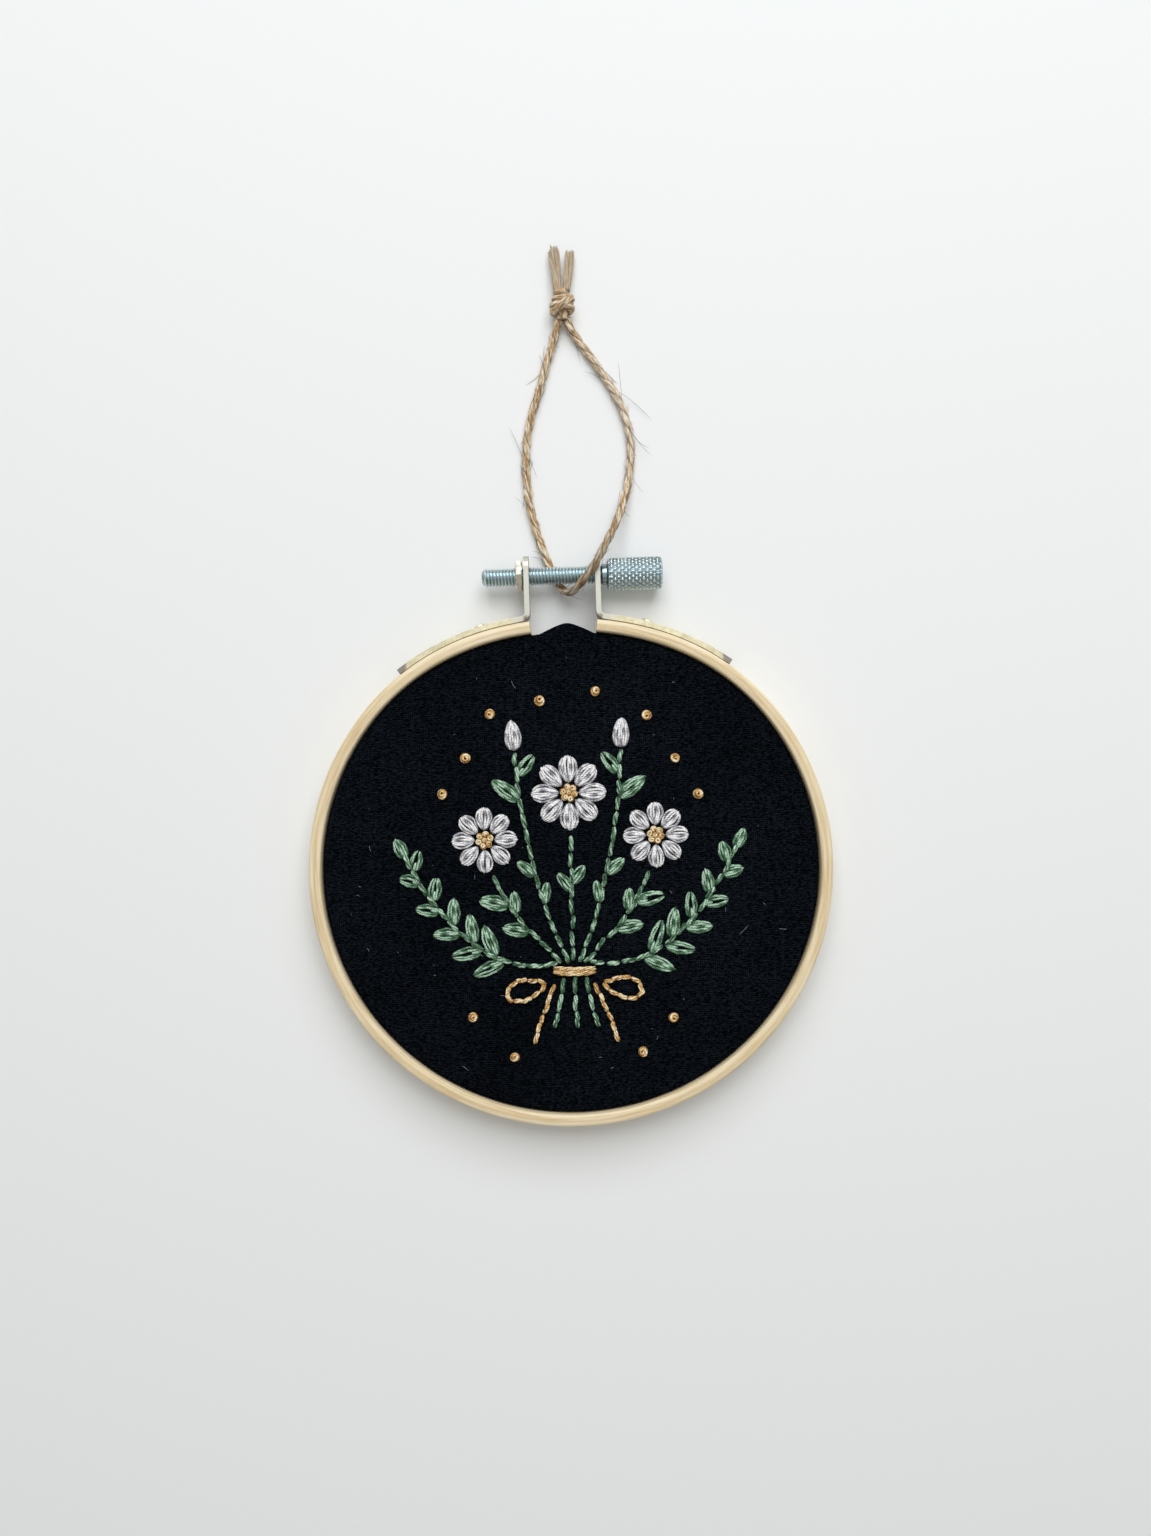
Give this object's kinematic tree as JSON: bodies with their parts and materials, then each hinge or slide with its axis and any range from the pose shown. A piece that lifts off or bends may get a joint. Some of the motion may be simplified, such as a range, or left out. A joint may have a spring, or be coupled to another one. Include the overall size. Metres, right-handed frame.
{
  "type": "embroidery art in a wooden hoop",
  "caption": "Small wooden embroidery hoop holding stretched black cotton with a stitched posy, a knurled clamp screw and a knotted twine loop to hang it by.",
  "frame": {"origin": "under the middle of the hoop and its clamp, at the hoop's flat back", "axes": "+Z out of the embroidered face, +Y towards the clamp screw and hanging loop, +X to the right seen from the front"},
  "size_m": [0.11, 0.1875, 0.0097],
  "materials": {
    "wood": "sanded, unvarnished",
    "cloth": "matte plain weave",
    "plated_steel": "nickel plated, satin",
    "zinc_screw": "blue zinc plated",
    "jute": "hairy two-ply cord",
    "green_thread": "stranded cotton, soft sheen",
    "grey_thread": "stranded cotton, soft sheen",
    "gold_thread": "stranded cotton, soft sheen"
  },
  "bodies": {
    "hoop": {"outer_ring": "wood", "inner_ring": "wood", "cloth": "cloth", "bracket_left": "plated_steel", "bracket_right": "plated_steel", "rivet_left": "plated_steel", "rivet_right": "plated_steel", "clamp_nut": "plated_steel", "twine_loop": "jute", "twine_knot": "jute", "twine_tail_left": "jute", "twine_tail_right": "jute", "fern_left": "green_thread", "fern_right": "green_thread", "spray_left": "green_thread", "spray_right": "green_thread", "bud_stem_left": "green_thread", "bud_stem_right": "green_thread", "mid_stem": "green_thread", "stem_end_left": "green_thread", "stem_end_mid": "green_thread", "stem_end_right": "green_thread", "daisy_left": "grey_thread", "daisy_mid": "grey_thread", "daisy_right": "grey_thread", "bud_left": "grey_thread", "bud_right": "grey_thread", "eye_left": "gold_thread", "eye_mid": "gold_thread", "eye_right": "gold_thread", "tie_band": "gold_thread", "bow_left": "gold_thread", "bow_right": "gold_thread", "bow_tail_left": "gold_thread", "bow_tail_right": "gold_thread", "berry_01": "gold_thread", "berry_02": "gold_thread", "berry_03": "gold_thread", "berry_04": "gold_thread", "berry_05": "gold_thread", "berry_06": "gold_thread", "berry_07": "gold_thread", "berry_08": "gold_thread", "berry_09": "gold_thread", "berry_10": "gold_thread", "berry_11": "gold_thread", "berry_12": "gold_thread"},
    "clamp_screw": {"clamp_screw": "zinc_screw"}
  },
  "joints": [
    {"name": "screw_turn", "type": "hinge", "parent": "hoop", "child": "clamp_screw", "pos_m": [0, 0.05595, 0.0045], "axis": [1, 0, 0], "continuous": true}
  ]
}
